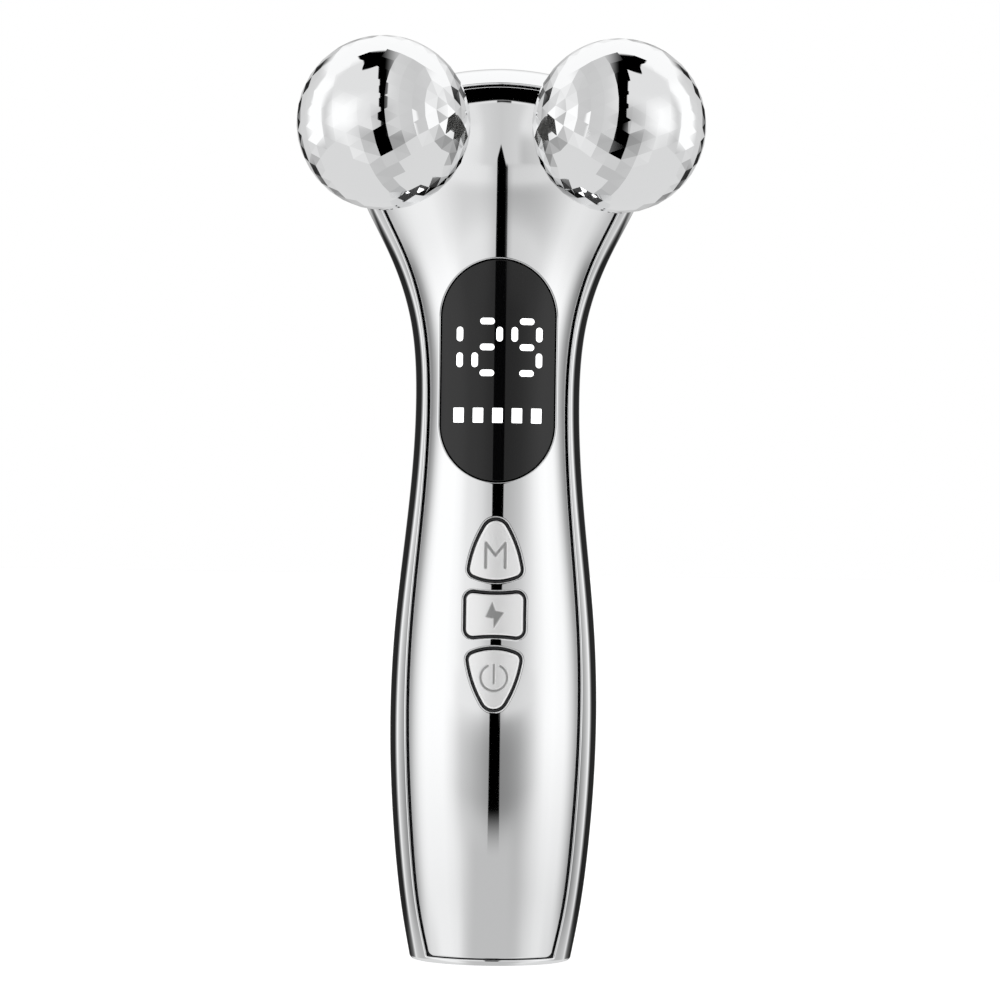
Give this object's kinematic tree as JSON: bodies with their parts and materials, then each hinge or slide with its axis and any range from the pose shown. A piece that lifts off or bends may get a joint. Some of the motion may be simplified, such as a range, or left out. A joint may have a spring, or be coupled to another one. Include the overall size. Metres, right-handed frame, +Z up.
{
  "type": "facial toning device",
  "caption": "Chrome Y-shaped handle with a display, mode, level and power buttons, and faceted ball rollers that spin on tilted axles.",
  "frame": {"origin": "middle of the flat base that the device stands on, on the handle's centre plane", "axes": "+Z up the handle to the head, -Y out of the front with the display and buttons, +X to the right seen from the front"},
  "size_m": [0.071, 0.0553, 0.1634],
  "materials": {
    "chrome_shell": "mirror-bright vacuum chrome over moulded plastic",
    "roller_chrome": "mirror-bright chrome, flat facets",
    "button_chrome": "mirror-bright chrome with engraved marks",
    "display_black": "gloss black lens",
    "display_white": "white lit segments",
    "white_plastic": "natural white moulding",
    "black_plastic": "black moulding, fine texture",
    "black_foam": "closed-cell foam",
    "green_board": "solder-masked board",
    "switch_black": "moulded switch body",
    "switch_red": "moulded switch stem",
    "steel_screw": "zinc-plated steel",
    "axle_steel": "ground steel",
    "socket_steel": "plated steel shell",
    "motor_can": "drawn steel can",
    "weight_brass": "sintered weight",
    "contact_brass": "spring strip",
    "bush_brass": "sintered bush",
    "battery_wrap": "shrink wrap"
  },
  "bodies": {
    "root": {"front_cover": "chrome_shell", "rear_cover": "chrome_shell", "end_cap": "black_plastic", "display_window": "display_black", "display_segments": "display_white", "display_reflector": "white_plastic", "display_gasket": "black_foam", "display_board": "green_board", "tact_switches": "switch_black", "main_board": "green_board", "board_screws": "steel_screw", "inner_frame": "black_plastic", "frame_screws": "steel_screw", "battery": "battery_wrap", "vibration_motor": "motor_can", "usb_socket": "socket_steel", "charge_board": "green_board", "roller_yoke": "black_plastic", "yoke_screws": "steel_screw", "axle_left": "axle_steel", "axle_right": "axle_steel", "axle_clip_left": "axle_steel", "axle_clip_right": "axle_steel", "thrust_washer_left": "white_plastic", "thrust_washer_right": "white_plastic", "axle_collar_left": "chrome_shell", "axle_collar_right": "chrome_shell", "contact_spring_left": "contact_brass", "contact_spring_right": "contact_brass"},
    "roller_left": {"roller_left": "roller_chrome", "roller_hub_left": "white_plastic", "outer_bush_left": "bush_brass", "inner_bush_left": "bush_brass"},
    "roller_right": {"roller_right": "roller_chrome", "roller_hub_right": "white_plastic", "outer_bush_right": "bush_brass", "inner_bush_right": "bush_brass"},
    "button_mode": {"button_mode": "button_chrome", "switch_stem_mode": "switch_red"},
    "button_level": {"button_level": "button_chrome", "switch_stem_level": "switch_red"},
    "button_power": {"button_power": "button_chrome", "switch_stem_power": "switch_red"},
    "motor_weight": {"motor_weight": "weight_brass"}
  },
  "joints": [
    {"name": "roller_right_spin", "type": "hinge", "parent": "root", "child": "roller_right", "pos_m": [0.0204, -0.027, 0.1483], "axis": [0.44, -0.8499, 0.29], "continuous": true},
    {"name": "roller_left_spin", "type": "hinge", "parent": "root", "child": "roller_left", "pos_m": [-0.0204, -0.027, 0.1483], "axis": [-0.44, -0.8499, 0.29], "continuous": true},
    {"name": "button_mode_press", "type": "slide", "parent": "root", "child": "button_mode", "axis": [0, 1, 0], "range_m": [0, 0.0005], "stiffness_N_per_m": 3000, "springref_m": -0.0001},
    {"name": "button_level_press", "type": "slide", "parent": "root", "child": "button_level", "axis": [0, 1, 0], "range_m": [0, 0.0005], "stiffness_N_per_m": 3000, "springref_m": -0.0001},
    {"name": "button_power_press", "type": "slide", "parent": "root", "child": "button_power", "axis": [0, 1, 0], "range_m": [0, 0.0005], "stiffness_N_per_m": 3000, "springref_m": -0.0001},
    {"name": "motor_weight_spin", "type": "hinge", "parent": "root", "child": "motor_weight", "pos_m": [0, 0.001, 0.123], "axis": [0, 0, 1], "continuous": true}
  ]
}
